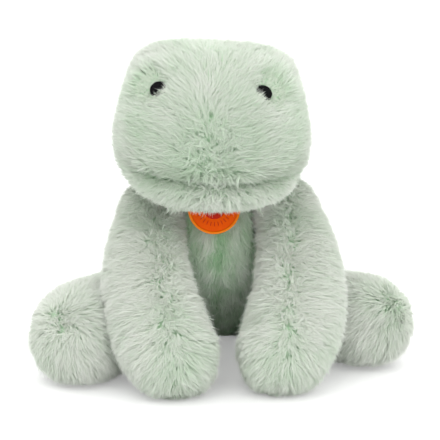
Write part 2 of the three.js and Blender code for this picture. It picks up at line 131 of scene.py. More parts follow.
# Long pile
lock_spacing = 1.32 * mm
scatter_tries = 6  # places tried for each square of the spacing
scatter_cell = 1.22  # one place is kept in each cell of this many spacings
lock_radius = 1.0 * mm  # roots of one lock lie within this of its middle
lock_strands = 4  # drawn to the tip of the lock
loose_strands = 5  # fill the pile between the locks
strand_width = 0.46 * mm  # at its bend
pile_rise = 3.9 * mm  # how far the combed tips stand off the cloth
pile_run = 10.5 * mm  # how far they lie over along the cloth
floor_clearance = 0.35 * mm  # strands stop this far above the floor
floor_scatter = 0.5 * mm  # or up to this much higher
fold_reach = 13 * mm  # the pile is painted deeper in tone this near to another form, as painted shade in the fold
fold_shade = 0.95
limb_fold_shades = {"leg_left": 0.4, "leg_right": 0.4, "arm_left": 0.75, "arm_right": 0.75}  # less painted shade on limbs, which part in motion
room_beside = 1.3  # how much more room a lock has than its distance from what stands beside it
least_room = 1.6 * mm  # a lock with less room in front of it is left out
tone_columns = 64
bend_share = 0.45  # place of a strand's bend in its colours, from root to tip
bend_rise, bend_run = 0.72, 0.36  # shares of its rise and run that a strand has at its bend
stray_share = 0.1  # strands that stand higher than the rest
stray_lift = 0.45
length_spread = 0.16
loose_length = 0.86
gathers = 0.2, 0.05  # shares of their way to the lock's middle that drawn and loose strands lean in
scatters = 1.0, 1.6  # how far the tips of drawn and loose strands stray, in radii of the lock
upright_scatter = 1.5  # how much farther they stray where the pile stands up
lock_drift = 0.6
roll_spread = 0.2  # radians that strands are turned about their length
most_roll = 0.8
tone_spread = 0.08

# Tones, heights and lay of the locks
limb_roughness = 0.65
ruffle, ruffle_size = 0.5, 9 * mm
fine_ruffle, fine_ruffle_size = 0.28, 3.2 * mm
lock_ruffle = 0.16  # from lock to lock
tangle_spread = 0.7
limb_tangle, limb_tangle_sizes = 0.6, (5 * mm, 2.4 * mm)
tousle_comb_loss, tousle_tangle = 0.85, 1.3
lock_swell, swell_size = 0.13, 7 * mm
fine_swell, fine_swell_size = 0.4, 2.6 * mm
full_room = 1.25  # room that a lock needs to stand at its full height, in rises of the pile
pile_tone = 0.83
cloud_tone, cloud_size = 0.2, 25 * mm
head_tousle_loss, tousle_loss = 0.6, 0.42  # how much shorter tousled pile lies
limb_tone, sole_tone, parting_tone = 0.12, 0.1, 0.16
# An arm's pile is painted deeper low down, as painted shade towards the paw
low_arm_shade, low_arm_shade_edge = 0.16, (22 * mm, 62 * mm)
belly_edge = 0.2, 0.7
belly_stretch = np.array([1, 1, 0.35])  # its tufts are drawn out downwards
belly_tuft_size = 4.5 * mm
belly_seam_width = 2.2 * mm
tuck_width, tuck_loss, tuck_shade = 2 * mm, 0.6, 0.54  # in the mouth; the tone there is painted shade in its crease
seam_share, seam_height, seam_width = 0.35, -0.5 * mm, 0.8 * mm  # the mouth's seam is bare
lower_lip_band, lower_lip_loss = (-3 * mm, 3.5 * mm), 0.4
under_chin_edge, facing_down_edge = (10 * mm, 20 * mm), (-0.1, 0.5)
under_chin_reach_loss, under_chin_loss = 0.7, 0.4
# The snout's front above the mouth is painted deeper, as painted shade
snout_shade, snout_shade_band = 0.2, (20 * mm, 18 * mm)
over_eye_width, over_pupil_width = 14 * mm, 7 * mm
over_pupil_reach_loss, over_pupil_loss = 0.88, 0.35
rim_side, rim_edge, rim_spread = (0.7, 0.7), (-4 * mm, 4 * mm), 2 * mm  # of the clearing round an eye
# The ring round an eye's clearing is painted deeper, as painted shade in its crease
eye_rim_shade, upper_eye_rim_shade, rim_loss = 0.06, 0.2, 0.4
brow_gain, brow_away = 0.25, 5 * mm

# Combing of the head
fountain_source = 0.47, 0, 0.2  # shares of the head's box
fountain_width = 13 * mm
fountain_waves = (9 * mm, 15 * mm, 6.0), (6 * mm, 6 * mm, 14.0)  # depth, size and seed
crown_share = 0.45  # depth of the head where its pile starts to turn down behind
chin_edge = -4 * mm, 4 * mm
side_sweep = 0.6
side_sweep_edge = 10 * mm, 50 * mm
back_sweep = 0.7
cheek_rise, cheek_edge = 0.42, (4 * mm, 20 * mm)
forehead_rise, forehead_edge = 0.3, (40 * mm, 65 * mm)
overhang_drop, overhang_band, overhang_width = 0.4, (2 * mm, 6 * mm), 26 * mm
nape_drop, chin_drop = 1.2, 0.8
brow_pull, brow_width, brow_comb_edge = 0.5, 17 * mm, (-2 * mm, 5 * mm)
lid_pull, lid_band, lid_width = 2.2, (2 * mm, 7 * mm), 16 * mm
lip_width, lip_lift = 6 * mm, 0.15
ridge_width, ridge_edge, ridge_lift, ridge_tousle = 13 * mm, (-60 * mm, -35 * mm), 0.08, 0.6
muzzle_width, muzzle_band, muzzle_tousle = 17 * mm, (8 * mm, 10 * mm), 0.78

# Combing of the body, arms and legs
body_parting, body_parting_width, body_tousle = 0.25, 6 * mm, 0.25
limb_end_points = 40
arm_parting, arm_parting_width = 1.3, 6 * mm
arm_parting_wave, arm_parting_wave_size = 5 * mm, 9 * mm
arm_front_edge = -0.3, 0.7
arm_turn, arm_turn_width = 0.5, 10 * mm  # beside the parting the pile turns back round the arm
arm_tousle, arm_tousle_width, arm_lift = 0.7, 9 * mm, 0.15
paw_edge, paw_calm, paw_down = (-42 * mm, -12 * mm), 0.7, 0.9
arm_down, arm_fall = 0.3, 0.15
swirl_rise = 15 * mm  # the pile of each sole parts this far above its middle
swirl_depth = 6 * mm
swirl_wave, swirl_wave_size = 9 * mm, 12 * mm
sole_edge = -34 * mm, -14 * mm
sole_tousle, sole_tousle_width = 0.72, 11 * mm
sole_lift, sole_lift_width = 0.4, 8 * mm
leg_fall = 0.4

# Medallion
rim_width = 1.5 * mm
rim_height = 0.9 * mm
rim_wall = 0.35 * mm
rim_bevel = 0.45 * mm
rim_highlight_inset = 0.2 * mm  # how far the rim's painted highlight goes inside it
plate_face = 1.2 * mm  # its sunk field, from its middle
centre_root, centre_height = 0.4 * mm, 0.55 * mm  # below and above that field
centre_radius = 8 * mm
centre_bevel = 0.4 * mm
lug_radius, lug_thickness = 2.75 * mm, 0.6 * mm
lug_gap = 0.5 * mm  # from the plate's edge to the middle of the lug
rib_count = 28
rib_ends = 10 * mm, 13 * mm
rib_width = 0.42 * mm
rib_root, rib_height = 0.2 * mm, 0.35 * mm  # below and above the field
rib_bevel = 0.16 * mm
round_segments = 96

# Loop and pouch
groove_share = 0.35  # of the loop's thickness
loop_twists = 9
bag_share = 0.96  # of the pouch's box, before its pellets bulge
pellet_bulge, pellet_size = 0.5 * mm, 2.4 * mm
bag_seam_rise, bag_seam_width = 0.5 * mm, 0.8 * mm

# Stage, light and camera
light_target = 0, -0.05, 0.12
light_size = 0.9
lights = {"key": ((-0.35, -0.7, 1.2), 3.3), "fill": ((0.6, -0.9, 0.9), 2.6), "back": ((0.1, 1.2, 0.8), 3)}
world_strength = 1.04
floor_size = 8
floor_lift = 0.3  # light that the camera alone sees on it
camera_target = Vector((0.5, -50, 105)) * mm
camera_distance = 1100 * mm
camera_azimuth = math.radians(-5)
camera_elevation = math.radians(15)
camera_lens = 125
camera_sensor = 36


# Making and shaping meshes


def deselect():
    bpy.ops.object.select_all(action="DESELECT")


def add_to_scene(made):
    bpy.context.scene.collection.objects.link(made)


def select(*pieces):
    """Selects these pieces alone, and makes the first one active."""
    deselect()
    for piece in pieces:
        piece.select_set(True)
    bpy.context.view_layer.objects.active = pieces[0]
    return pieces[0]


def apply(piece, kind, **settings):
    """Adds a modifier of that kind to a piece and applies it."""
    select(piece)
    modifier = piece.modifiers.new(kind.title(), kind)
    for key, value in settings.items():
        setattr(modifier, key, value)
    bpy.ops.object.modifier_apply(modifier=modifier.name)


def joined_copy(name, nodes):
    """One new piece with the merged faces of these CAD nodes."""
    copies = []
    for node_name in nodes:
        copy = bpy.data.objects.new(name, frame["nodes"][node_name].data.copy())
        add_to_scene(copy)
        copies.append(copy)
    piece = select(*copies)
    if len(copies) > 1:
        bpy.ops.object.join()
    bpy.ops.object.mode_set(mode="EDIT")
    bpy.ops.mesh.select_all(action="SELECT")
    bpy.ops.mesh.remove_doubles(threshold=weld)
    bpy.ops.object.mode_set(mode="OBJECT")
    piece.name = name
    piece.data.name = name
    piece.data.materials.clear()
    return piece


def keep_largest(piece):
    """Deletes all but the largest connected part of a mesh."""
    shape = bmesh.new()
    shape.from_mesh(piece.data)
    left = set(shape.verts)
    largest = set()
    while left:
        found = {left.pop()}
        edge = list(found)
        while edge:
            vertex = edge.pop()
            for link in vertex.link_edges:
                other = link.other_vert(vertex)
                if other in left:
                    left.remove(other)
                    found.add(other)
                    edge.append(other)
        if len(found) > len(largest):
            largest = found
    bmesh.ops.delete(shape, geom=[v for v in shape.verts if v not in largest], context="VERTS")
    shape.to_mesh(piece.data)
    shape.free()


def unit(vectors):
    return vectors / np.maximum(np.linalg.norm(vectors, axis=-1, keepdims=True), 1e-12)


def dot(a, b):
    return np.sum(a * b, axis=-1, keepdims=True)


def smoothstep(values, low, high):
    share = np.clip((values - low) / (high - low), 0, 1)
    return share * share * (3 - 2 * share)


def bell(values, width):
    return np.exp(-((values / width) ** 2))


def rise_at(values, middle, width):
    """A smooth rise to one at that middle."""
    return bell(values - middle, width)


def tangent(directions, normals):
    """Directions laid down on the surface, one long."""
    return unit(directions - dot(directions, normals) * normals)


def waves(points, size, seed=0.0):
    """Smooth random vectors of about one, that change over that size; each seed gives another pattern."""
    shift = Vector((seed, -seed, 2 * seed))
    return np.array([noise.noise_vector(Vector(p) / size + shift) for p in points])


def surface_of(piece):
    """Points, smooth normals and triangles of a mesh, as arrays."""
    mesh = piece.data
    mesh.calc_loop_triangles()
    points = np.empty(len(mesh.vertices) * 3)
    mesh.vertices.foreach_get("co", points)
    normals = np.empty(len(mesh.vertices) * 3)
    mesh.vertex_normals.foreach_get("vector", normals)
    triangles = np.empty(len(mesh.loop_triangles) * 3, dtype=np.int32)
    mesh.loop_triangles.foreach_get("vertices", triangles)
    return points.reshape(-1, 3), normals.reshape(-1, 3), triangles.reshape(-1, 3)


def push(piece, distance):
    """Moves each point of a mesh out along its normal by what distance(points, normals) gives."""
    points, normals, _ = surface_of(piece)
    points += normals * distance(points, normals)[:, None]
    piece.data.vertices.foreach_set("co", points.ravel())
    piece.data.update()


def finish_piece(piece, material, body, replaced, smooth=True):
    """Gives a piece its finish and its place in the frame, and hides the CAD nodes that it stands for."""
    select(piece)
    if smooth:
        bpy.ops.object.shade_smooth()
    piece.data.materials.clear()
    piece.data.materials.append(material)
    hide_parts(*replaced)
    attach(piece, body)
    return piece


# Materials


def srgb(red, green, blue):
    """A colour as a screen shows it, in the linear numbers that a shader takes."""
    shares = [v / 255 for v in (red, green, blue)]
    return tuple(s / 12.92 if s <= 0.04045 else ((s + 0.055) / 1.055) ** 2.4 for s in shares)


def new_material(name, colour, roughness, **sockets):
    material = bpy.data.materials.new(name)
    material.use_nodes = True
    shader = material.node_tree.nodes["Principled BSDF"]
    shader.inputs["Base Color"].default_value = (*colour, 1)
    shader.inputs["Roughness"].default_value = roughness
    for key, value in sockets.items():
        shader.inputs[key.replace("_", " ")].default_value = value
    return material


def node(material, kind, links=(), **settings):
    """Adds a shader node; links are (input, source socket)."""
    made = material.node_tree.nodes.new(kind)
    for key, value in settings.items():
        if key in made.inputs:
            made.inputs[key].default_value = value
        else:
            setattr(made, key, value)
    for key, source in links:
        material.node_tree.links.new(source, made.inputs[key])
    return made


def ramp(material, source, stops):
    """A colour ramp over a socket; stops are (place, colour)."""
    made = node(material, "ShaderNodeValToRGB", [("Fac", source)])
    elements = made.color_ramp.elements
    while len(elements) < len(stops):
        elements.new(0.5)
    for element, (place, colour) in zip(elements, stops):
        element.position = place
        element.color = (*colour, 1)
    return made.outputs["Color"]


def link_shader(material, key, socket):
    material.node_tree.links.new(socket, material.node_tree.nodes["Principled BSDF"].inputs[key])


def link_bump(material, height, depth):
    bump = node(material, "ShaderNodeBump", [("Height", height)], Strength=1, Distance=depth)
    link_shader(material, "Normal", bump.outputs["Normal"])


def pile_material(name, pale_stops, deep_stops):
    """Pile coloured from root to tip; a strand's tone runs from the deep colours to the pale ones."""
    material = new_material(name, pale_stops[1][1], 0.8, Specular_IOR_Level=0.15)
    uv = node(material, "ShaderNodeUVMap", uv_map="OFBake")
    split = node(material, "ShaderNodeSeparateXYZ", [("Vector", uv.outputs["UV"])])
    pale = ramp(material, split.outputs["Y"], pale_stops)
    deep = ramp(material, split.outputs["Y"], deep_stops)
    mix = node(material, "ShaderNodeMix", data_type="RGBA")
    for key, source in (("Factor", split.outputs["X"]), ("A", deep), ("B", pale)):
        socket = next(s for s in mix.inputs if s.name == key and s.enabled)
        material.node_tree.links.new(source, socket)
    link_shader(material, "Base Color", next(s for s in mix.outputs if s.enabled))
    return material


def noise_colours(name, first, second, scale, roughness, bump_depth, shine=0.5):
    """A matt surface that mottles between two colours, with fine grain."""
    material = new_material(name, first, roughness, Specular_IOR_Level=shine)
    place = node(material, "ShaderNodeTexCoord").outputs["Object"]
    grain = node(material, "ShaderNodeTexNoise", [("Vector", place)], Scale=scale, Detail=4)
    link_shader(material, "Base Color", ramp(material, grain.outputs["Fac"], [(0.3, first), (0.7, second)]))
    link_bump(material, grain.outputs["Fac"], bump_depth)
    return material


# Both pile colourings run greener and deeper from the tip to the root, partly the fur's own colour and partly
# painted shade deep in the pile; their deep colours carry the painted shade of folds, the belly, the mouth,
# the snout and the eyes' rims, and random tone.
long_pile = pile_material(
    "long pile",
    [(0.0, srgb(200, 230, 197)), (0.4, srgb(221, 230, 215)), (0.9, srgb(235, 237, 231))],
    [(0.0, srgb(122, 199, 128)), (0.5, srgb(165, 209, 162)), (1.0, srgb(195, 219, 189))],
)
short_pile = pile_material(
    "short pile",
    [(0.0, srgb(200, 218, 196)), (0.5, srgb(214, 226, 208)), (1.0, srgb(226, 233, 219))],
    [(0.0, srgb(180, 206, 178)), (0.6, srgb(202, 218, 197)), (1.0, srgb(212, 225, 206))],
)
cloth = noise_colours("knitted backing", srgb(200, 234, 198), srgb(188, 226, 186), 700, 0.9, 0.3 * mm)
fibre = noise_colours("polyester fibre", srgb(240, 238, 230), srgb(222, 220, 210), 260, 0.9, 0.8 * mm)
pouch_cloth = noise_colours("pouch cloth", srgb(214, 206, 188), srgb(196, 188, 168), 900, 0.85, 0.2 * mm)
thread = noise_colours("black thread", srgb(14, 14, 16), srgb(5, 5, 7), 1600, 0.8, 0.1 * mm, 0.15)
cord = noise_colours("green cord", srgb(150, 184, 152), srgb(120, 158, 124), 1200, 0.8, 0.2 * mm)
orange = noise_colours("orange moulding", srgb(250, 98, 0), srgb(246, 90, 0), 300, 0.5, 0.05 * mm, 0.08)
# A paler orange for the medallion's rim: a painted highlight
rim_highlight_orange = noise_colours("painted rim highlight", srgb(255, 138, 22), srgb(255, 128, 14), 300, 0.45, 0.05 * mm, 0.12)
red = noise_colours("red moulding", srgb(206, 38, 4), srgb(192, 30, 2), 300, 0.5, 0.05 * mm, 0.15)


# The stuffed forms: the CAD nodes that each cloth goes round

arms = ["arm_left", "arm_right"]
legs = ["leg_left", "leg_right"]
forms = {part: [f"{part}_skin", f"{part}_filling"] for part in ["head", "body", *arms, *legs]}
forms["head"] += ["eye_patch_left", "eye_patch_right"]
forms["body"] += ["seat_pouch"]


def box_of(node_name):
    """Low and high corner of a CAD node."""
    return [np.array(corner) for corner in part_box(node_name)]


boxes = {part: box_of(f"{part}_skin") for part in forms}


def place_in(part, shares):
    """A point in a skin's box, by shares of its three sides."""
    low, high = boxes[part]
    return low + (high - low) * np.array(shares)


def disc_frame(node_name):
    """Middle and outward direction of a CAD node that is a flat disc on the frog's front."""
    points = surface_of(frame["nodes"][node_name])[0]
    middle = (points.min(axis=0) + points.max(axis=0)) / 2
    normal = np.linalg.svd(points - points.mean(axis=0), full_matrices=False)[2][2]
    return middle, normal * -np.sign(normal[1])


eyes = {side: disc_frame(f"eye_patch_{side}") for side in ("left", "right")}
pupils = {side: disc_frame(f"eye_pupil_{side}") for side in ("left", "right")}


def above_mouth(points):
    """Height above the mouth's line, and how much of the mouth there is at each point."""
    low, high = boxes["head"]
    middle = place_in("head", (0.5, 0, mouth_share))
    across = points[:, 0] - middle[0]
    line = middle[2] + mouth_rise * np.minimum(1, (across / mouth_half_width) ** 2) - mouth_slope * across
    depth = high[1] - low[1]
    facing = 1 - smoothstep(points[:, 1], *(low[1] + share * depth for share in face_edge))
    return points[:, 2] - line, facing * (1 - smoothstep(np.abs(across) / mouth_half_width, *mouth_end_edge))


def eye_axes(side):
    """Unit directions outwards and upwards in the plane of an eye patch."""
    across = unit(np.cross(eyes[side][1], up)) * (-1 if side == "left" else 1)
    above = np.cross(across, eyes[side][1]) * (-1 if side == "left" else 1)
    return across, above


def beside_eye(points, side):
    """Distances outwards, upwards and in all from the middle of an eye patch, and how near the face is."""
    middle, normal = eyes[side]
    outwards, upwards = eye_axes(side)
    away = points - middle
    out, rise = away @ outwards, away @ upwards
    near = 1 - smoothstep(np.abs(away @ normal), *near_eye_edge)
    return out, rise, np.hypot(out, rise), near


def towards_brow(out, rise, edge):
    """From none on the snout's side of an eye to one on the brow's side."""
    return smoothstep(brow_side[0] * out + brow_side[1] * rise, *edge)


def over_pupil(points, side):
    """Distance from a line across a pupil towards the snout, whose pile lies over the pupil from there."""
    middle = np.array([axis @ (pupils[side][0] - eyes[side][0]) for axis in eye_axes(side)])
    out, rise, _, _ = beside_eye(points, side)
    return (out - middle[0]) * snout_side[0] + (rise - middle[1]) * snout_side[1]


def face_shape(points, normals):
    """How far the head's cloth stands out: in at the mouth and round the eyes."""
    height, share = above_mouth(points)
    moved = -mouth_depth * share * bell(height, mouth_crease_width)
    moved += lip_swell * share * (rise_at(height, *upper_lip) + rise_at(height, *lower_lip))
    moved -= np.where(normals[:, 0] < 0, *side_insets) * normals[:, 0] ** 2
    from_middle = (points[:, 0] - place_in("head", (0.5, 0, 0))[0]) / corner_reach
    moved -= corner_drop * np.clip(normals[:, 2], 0, 1) ** 2 * np.minimum(1, from_middle**2)
    for side in eyes:
        out, rise, away, near = beside_eye(points, side)
        from_snout = np.hypot(out - snout_place[0], rise - snout_place[1])
        moved += near * brow_swell * rise_at(away, *brow_ring) * towards_brow(out, rise, brow_edge)
        moved += near * snout_swell * bell(from_snout, snout_width)
        moved -= near * socket_depth * bell(away, socket_width)
        moved -= near * crease_depth * rise_at(rise, *crease_band) * smoothstep(out, *crease_edge)
    return moved


def belly_shape(points, normals):
    """The body's cloth draws in low down on its front."""
    return -belly_tuck * bell(points[:, 2], belly_tuck_height) * smoothstep(-normals[:, 1], *belly_front_edge)


def stuffed_cloth(name, part):
    """The outside of a form's nodes as one smooth form, as deep as the cloth lies under its pile."""
    piece = joined_copy(name, forms[part])
    apply(piece, "REMESH", mode="VOXEL", voxel_size=cloth_voxel)
    keep_largest(piece)
    apply(piece, "SMOOTH", factor=smoothing, iterations=12)
    apply(piece, "DISPLACE", direction="NORMAL", mid_level=0, strength=-cloth_insets.get(part, cloth_inset))
    apply(piece, "SMOOTH", factor=smoothing, iterations=5)
    if part == "head":
        push(piece, face_shape)
        apply(piece, "SMOOTH", factor=smoothing, iterations=2)
    if part == "body":
        push(piece, belly_shape)
    return piece


# Which way the pile is combed. Each comb gives directions, how far the pile lies over and how tousled it is.


def head_comb(points, normals):
    """From the mouth up and outwards like a fountain, over the top to the back, and down behind."""
    low, high = boxes["head"]
    behind = smoothstep(points[:, 1:2], low[1] + crown_share * (high[1] - low[1]), high[1])
    in_front = 1 - behind
    height, share = above_mouth(points)
    chin = (share * smoothstep(-height, *chin_edge))[:, None]
    across = points[:, 0] - place_in("head", fountain_source)[0]
    for depth, size, seed in fountain_waves:
        across += depth * waves(points, size, seed)[:, 0]
    sideways = np.zeros_like(points)
    sideways[:, 0] = np.tanh(across / fountain_width)
    sideways[:, 1] = side_sweep * smoothstep(points[:, 1], *(low[1] + depth for depth in side_sweep_edge))
    backwards = np.array([0.0, back_sweep, 0.0]) * behind
    overhang = rise_at(height, *overhang_band) * bell(across, overhang_width)
    rising = cheek_rise * smoothstep(height, *cheek_edge) + forehead_rise * smoothstep(height, *forehead_edge)
    rising = (rising - overhang_drop * overhang)[:, None]
    directions = sideways * in_front + backwards
    directions = directions + up * (rising * in_front * (1 - chin) - nape_drop * behind - chin_drop * chin)
    for side in eyes:
        out, rise, away, near = beside_eye(points, side)
        outwards, upwards = eye_axes(side)
        brow = near * bell(away, brow_width) * towards_brow(out, rise, brow_comb_edge)
        directions = directions + brow_pull * unit(points - eyes[side][0]) * brow[:, None]
        lid = near * rise_at(over_pupil(points, side), *lid_band) * bell(away, lid_width) * (1 - brow)
        from_snout = -(snout_side[0] * outwards + snout_side[1] * upwards)
        directions = directions + lid_pull * from_snout * lid[:, None]
    ridge = bell(across, ridge_width) * in_front[:, 0] * smoothstep(-height, *ridge_edge)
    muzzle = bell(across, muzzle_width) * rise_at(height, *muzzle_band) * in_front[:, 0]
    lay = 1 - lip_lift * (share * bell(height, lip_width)) - ridge_lift * ridge
    return tangent(directions, normals), lay, np.maximum(ridge_tousle * ridge, muzzle_tousle * muzzle)


def body_comb(points, normals):
    """Down and a little away from the middle seam."""
    low, high = boxes["body"]
    middle = (low[0] + high[0]) / 2
    away = np.zeros_like(points)
    away[:, 0] = body_parting * np.tanh((points[:, 0] - middle) / body_parting_width)
    return tangent(away - up, normals), np.ones(len(points)), np.full(len(points), body_tousle)


def limb_axis(part):
    """Unit direction of a limb from its root to its end, and its end: the mean of its farthest points."""
    joint = next(j for j in frame["joints"] if j["child"] == part)
    root = np.array(joint["pos_m"])
    points = surface_of(frame["nodes"][f"{part}_skin"])[0]
    far = points[np.argsort(np.linalg.norm(points - root, axis=1))[-limb_end_points:]].mean(axis=0)
    return unit(far - root), far


def arm_comb(part):
    """The comb of an arm: down it, parted along its front."""
    axis, end = limb_axis(part)
    ahead = tangent(forwards[None], axis[None])[0]
    across = np.cross(axis, ahead)

    def comb(points, normals):
        wave = waves(points, arm_parting_wave_size, 8.0)[:, :1]
        from_middle = dot(points - end, across[None]) + arm_parting_wave * wave
        facing = smoothstep(dot(normals, ahead[None]), *arm_front_edge)
        parting = np.tanh(from_middle / arm_parting_width) * facing
        turning = arm_turn * (1 - bell(from_middle, arm_turn_width))
        near = bell(from_middle[:, 0], arm_tousle_width)
        paw = smoothstep((points - end) @ axis, *paw_edge)[:, None]
        down = arm_down + paw_down * paw
        tousle = arm_tousle * near * facing[:, 0] * (1 - paw_calm * paw[:, 0])
        directions = axis * down + (across * parting * arm_parting - ahead * turning) - up * arm_fall
        return tangent(directions, normals), 1 - arm_lift * near, tousle

    return comb


def leg_comb(part):
    """The comb of a leg: from its sole outwards and back along it."""
    axis, end = limb_axis(part)
    swirl = end - axis * swirl_depth + up * swirl_rise

    def comb(points, normals):
        outwards = points - swirl + swirl_wave * waves(points, swirl_wave_size, 8.0)
        away = np.linalg.norm(outwards - dot(outwards, normals) * normals, axis=1)
        at_sole = smoothstep((points - end) @ axis, *sole_edge)
        tousle = bell(away, sole_tousle_width) * at_sole
        lay = 1 - sole_lift * bell(away, sole_lift_width) * at_sole
        return tangent(unit(outwards) - up * leg_fall, normals), lay, sole_tousle * tousle

    return comb


combs = {"head": head_comb, "body": body_comb}
combs.update({limb: arm_comb(limb) for limb in arms})
combs.update({limb: leg_comb(limb) for limb in legs})


# Pile


def scatter(surface, spacing):
    """Evenly spread places on a surface, one to about a square of that spacing: points and normals."""
    points, normals, triangles = surface
    corners = points[triangles]
    areas = np.linalg.norm(np.cross(corners[:, 1] - corners[:, 0], corners[:, 2] - corners[:, 0]), axis=1) / 2
    count = int(scatter_tries * areas.sum() / spacing**2)
    chosen = random.choice(len(areas), size=count, p=areas / areas.sum())
    a, b = random.random((2, count))
    a, b = np.where(a + b > 1, 1 - a, a), np.where(a + b > 1, 1 - b, b)
    shares = np.stack([1 - a - b, a, b], axis=1)[:, :, None]
    spots = (corners[chosen] * shares).sum(axis=1)
    facing = unit((normals[triangles[chosen]] * shares).sum(axis=1))
    cells = np.floor(spots / (scatter_cell * spacing)).astype(np.int64)
    first = np.unique(cells, axis=0, return_index=True)[1]
    return spots[first], facing[first]


def tree_of(nodes):
    """The CAD nodes' faces as one searchable tree."""
    points, faces = [], []
    for node_name in nodes:
        mesh = frame["nodes"][node_name].data
        start = len(points)
        points += [v.co.copy() for v in mesh.vertices]
        faces += [[start + i for i in p.vertices] for p in mesh.polygons]
    return BVHTree.FromPolygons(points, faces)


def room_before(points, normals, others, reach):
    """How far each place is from the next piece, up to reach."""
    room = np.full(len(points), reach)
    for i, (point, normal) in enumerate(zip(points, normals)):
        hit = others.ray_cast(Vector(point), Vector(normal), reach)
        if hit[0] is not None:
            room[i] = hit[3]
        near = others.find_nearest(Vector(point), reach)
        if near[0] is not None:
            room[i] = min(room[i], near[3] * room_beside)
    return room


def strand_mesh(name, paths, sideways, facing, tones):
    """A mesh of thin flat strands, pointed at both ends: paths (count, 3, 3), half widths and facings."""
    count = len(paths)
    corners = np.empty((count, 4, 3), dtype=np.float32)
    corners[:, 0] = paths[:, 0]
    corners[:, 1] = paths[:, 1] - sideways
    corners[:, 2] = paths[:, 1] + sideways
    corners[:, 3] = paths[:, 2]
    outline = np.array([0, 2, 1, 1, 2, 3])
    mesh = bpy.data.meshes.new(name)
    mesh.vertices.add(count * 4)
    mesh.vertices.foreach_set("co", corners.ravel())
    mesh.loops.add(count * 6)
    mesh.loops.foreach_set("vertex_index", (outline + 4 * np.arange(count)[:, None]).ravel().astype(np.int32))
    mesh.polygons.add(count * 2)
    mesh.polygons.foreach_set("loop_start", (3 * np.arange(count * 2)).astype(np.int32))
    columns = np.clip((tones * tone_columns).astype(int), 0, tone_columns - 1)[:, None]
    across = (columns + np.array([0.5, 0.15, 0.85, 0.5])[outline]) / tone_columns
    lengthways = 0.01 + 0.98 * np.array([0, bend_share, bend_share, 1])[outline]
    places = np.stack([across, np.broadcast_to(lengthways, across.shape)], axis=-1)
    layer = mesh.uv_layers.new(name="OFBake")
    layer.data.foreach_set("uv", places.ravel().astype(np.float32))
    mesh.update(calc_edges=True)
    mesh.polygons.foreach_set("use_smooth", np.ones(count * 2, dtype=bool))
    mesh.normals_split_custom_set_from_vertices(facing[:, [0, 1, 1, 2]].reshape(-1, 3).astype(np.float32))
    piece = bpy.data.objects.new(name, mesh)
    add_to_scene(piece)
    return piece


def combed_pile(name, locks, rise=pile_rise, run=pile_run, width=strand_width, radius=lock_radius):
    """Locks of pile: strands rise off the cloth, bend over along the comb and mostly meet at the tip."""
    centre, normal, comb = (locks[key][:, None] for key in ("points", "normals", "comb"))
    side = np.cross(normal, comb)
    strands = lock_strands + loose_strands
    shape = (len(locks["points"]), strands, 1)
    drawn = (np.arange(strands) < lock_strands)[None, :, None]
    height = locks["height"][:, None, None]
    lay = locks["lay"][:, None, None]
    spread = radius * np.sqrt(random.random(shape))
    angle = 2 * math.pi * random.random(shape)
    offset = spread * (np.cos(angle) * side + np.sin(angle) * comb)
    root = centre + offset
    long = random.normal(1, length_spread, shape) * np.where(drawn, 1, loose_length)
    stray = random.random(shape) < stray_share
    gather = np.where(drawn, *gathers)
    drift = waves(locks["points"], radius, 3.1)[:, None] * lock_drift * radius
    scatter_share = np.where(drawn, *scatters) * (1 + upright_scatter * (1 - lay))
    drift = drift + random.normal(0, radius, shape[:2] + (3,)) * scatter_share
    lift = height * rise * (1 + stray_lift * stray) * (0.55 + 0.45 * long)
    lie = (0.35 + 0.65 * height) * run * long * lay * locks["reach"][:, None, None]
    tip = root - gather * offset + normal * lift + comb * lie + drift * (0.35 + 0.65 * height)
    bend = root + normal * lift * bend_rise + comb * lie * bend_run
    bend += random.normal(0, 0.2 * radius, shape[:2] + (3,))
    path = np.stack([root, bend, tip])
    level = floor_clearance + floor_scatter * random.random(shape[:2])
    path[..., 2] = np.maximum(path[..., 2], level)
    along = unit(tip - root)
    flat = unit(np.cross(along, np.broadcast_to(normal, along.shape)))
    roll = np.clip(random.normal(0, roll_spread, shape), -most_roll, most_roll)
    turned = flat * np.cos(roll) + np.cross(along, flat) * np.sin(roll)
    facing = unit(np.cross(turned, along))
    half = 0.5 * width * turned * (0.7 + 0.6 * random.random(shape))
    tones = np.clip(locks["tone"][:, None] + random.normal(0, tone_spread, shape[:2]), 0, 0.999)
    count = shape[0] * shape[1]
    paths = np.moveaxis(path, 0, 2).reshape(count, 3, 3)
    facings = np.repeat(facing.reshape(count, 1, 3), 3, axis=1)
    return strand_mesh(name, paths, half.reshape(count, 3), facings, tones.ravel())


def chosen_locks(locks, chosen):
    return {key: values[chosen] for key, values in locks.items()}


def ruffled(part, points, normals, comb, tousle):
    """Combed directions, loosened everywhere, and tangled where the pile is tousled."""
    head = part == "head"
    rough = 1 if head else limb_roughness
    tousle = tousle[:, None]
    turns = ruffle * waves(points, ruffle_size) + fine_ruffle * rough * waves(points, fine_ruffle_size, 5.0)
    tangle = random.normal(0, tangle_spread, points.shape)
    if not head:
        wide, narrow = limb_tangle_sizes
        tangle = limb_tangle * (tangle + waves(points, wide, 11.0) + waves(points, narrow, 12.0))
    turns += random.normal(0, lock_ruffle * rough, points.shape)
    kept = comb * (1 - tousle_comb_loss * tousle)
    return tangent(kept + turns + tousle_tangle * tousle * tangle, normals)


